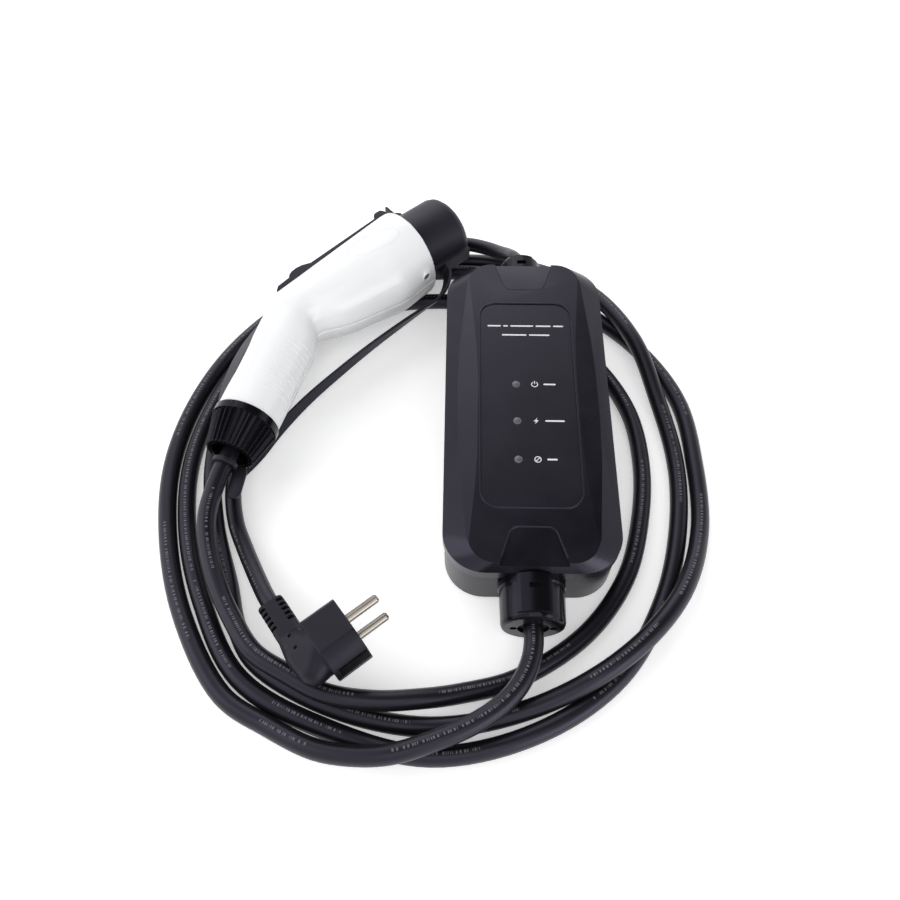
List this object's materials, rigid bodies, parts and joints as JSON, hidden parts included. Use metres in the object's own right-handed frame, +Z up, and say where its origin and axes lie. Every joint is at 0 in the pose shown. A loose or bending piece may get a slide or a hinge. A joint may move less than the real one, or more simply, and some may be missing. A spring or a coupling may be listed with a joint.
{
  "type": "portable ev charger",
  "caption": "Portable electric car charger: black control box with signal lamps, coiled cable to a white hand-held connector with latch and dust cap, short mains lead with angled plug",
  "frame": {"origin": "middle of the footprint of box and handle, on the table", "axes": "+X to the right across the box, +Y away from the viewer along the box towards the mains lead, +Z up"},
  "size_m": [0.3439, 0.3957, 0.0727],
  "materials": {
    "housing_black": "fine satin texture",
    "handle_white": "smooth gloss",
    "rubber_black": "satin",
    "nickel_plate": "polished nickel plate",
    "brass": "plain",
    "steel": "zinc plated",
    "lamp_lens": "clear, unlit",
    "circuit_board": "solder mask",
    "relay_case": "plain",
    "coil_tape": "wound tape",
    "terminal_green": "plain"
  },
  "bodies": {
    "charger": {"box_base": "housing_black", "box_cover": "housing_black", "cover_seal": "rubber_black", "cover_screws": "steel", "panel_overlay": "housing_black", "power_lamp": "lamp_lens", "charging_lamp": "lamp_lens", "fault_lamp": "lamp_lens", "control_board": "circuit_board", "board_screws": "steel", "line_relay": "relay_case", "neutral_relay": "relay_case", "leakage_coil": "coil_tape", "power_supply": "coil_tape", "mains_terminal": "terminal_green", "vehicle_terminal": "terminal_green", "vehicle_grommet": "rubber_black", "vehicle_collar_upper": "housing_black", "vehicle_collar_lower": "housing_black", "mains_grommet": "rubber_black", "mains_collar_upper": "housing_black", "mains_collar_lower": "housing_black", "grip_shell_upper": "handle_white", "grip_shell_lower": "handle_white", "shell_screws": "steel", "palm_pad": "rubber_black", "connector_nose": "rubber_black", "nose_screw": "steel", "contact_line": "nickel_plate", "contact_neutral": "nickel_plate", "contact_earth": "nickel_plate", "contact_pilot": "nickel_plate", "contact_proximity": "nickel_plate", "latch_pin": "steel", "latch_spring": "steel", "latch_switch": "housing_black", "boot_nut": "rubber_black", "cable_seal": "rubber_black", "dust_cap": "rubber_black", "cap_strap": "rubber_black", "plug_body": "rubber_black", "plug_pin_line": "nickel_plate", "plug_pin_neutral": "nickel_plate", "earth_clips": "nickel_plate", "earth_sleeve": "brass", "vehicle_cable": "rubber_black", "mains_lead": "rubber_black"},
    "lever": {"latch_lever": "housing_black"}
  },
  "joints": [
    {"name": "latch_hinge", "type": "hinge", "parent": "charger", "child": "lever", "pos_m": [-0.04817, 0.10635, 0.04235], "axis": [0.0382, -0.0826, 0.9959], "range_deg": [0, 4], "stiffness_Nm_per_rad": 1.5, "deforming": ["latch_spring"]}
  ]
}
